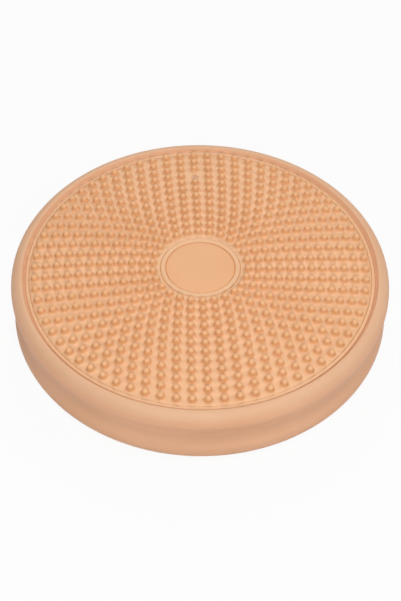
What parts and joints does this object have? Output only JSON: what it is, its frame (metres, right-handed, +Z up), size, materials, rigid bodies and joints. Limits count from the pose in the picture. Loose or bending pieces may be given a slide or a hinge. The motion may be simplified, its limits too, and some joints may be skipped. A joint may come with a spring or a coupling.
{
  "type": "sensory balance cushion",
  "caption": "Round inflatable balance cushion of soft plastic, with a field of moulded nubs, a plain centre, a rounded rim and a needle valve on top.",
  "frame": {"origin": "centre of the underside, on the floor", "axes": "+Z up through the middle of the disc; the valve lies towards +Y, the far side of the picture"},
  "size_m": [0.3306, 0.3306, 0.0658],
  "materials": {
    "upper_skin": "satin",
    "lower_skin": "satin",
    "valve_seat": "matte",
    "valve_core": "matte"
  },
  "bodies": {
    "root": {"upper_skin": "upper_skin", "lower_skin": "lower_skin", "valve_seat": "valve_seat", "valve_core": "valve_core"}
  },
  "joints": []
}
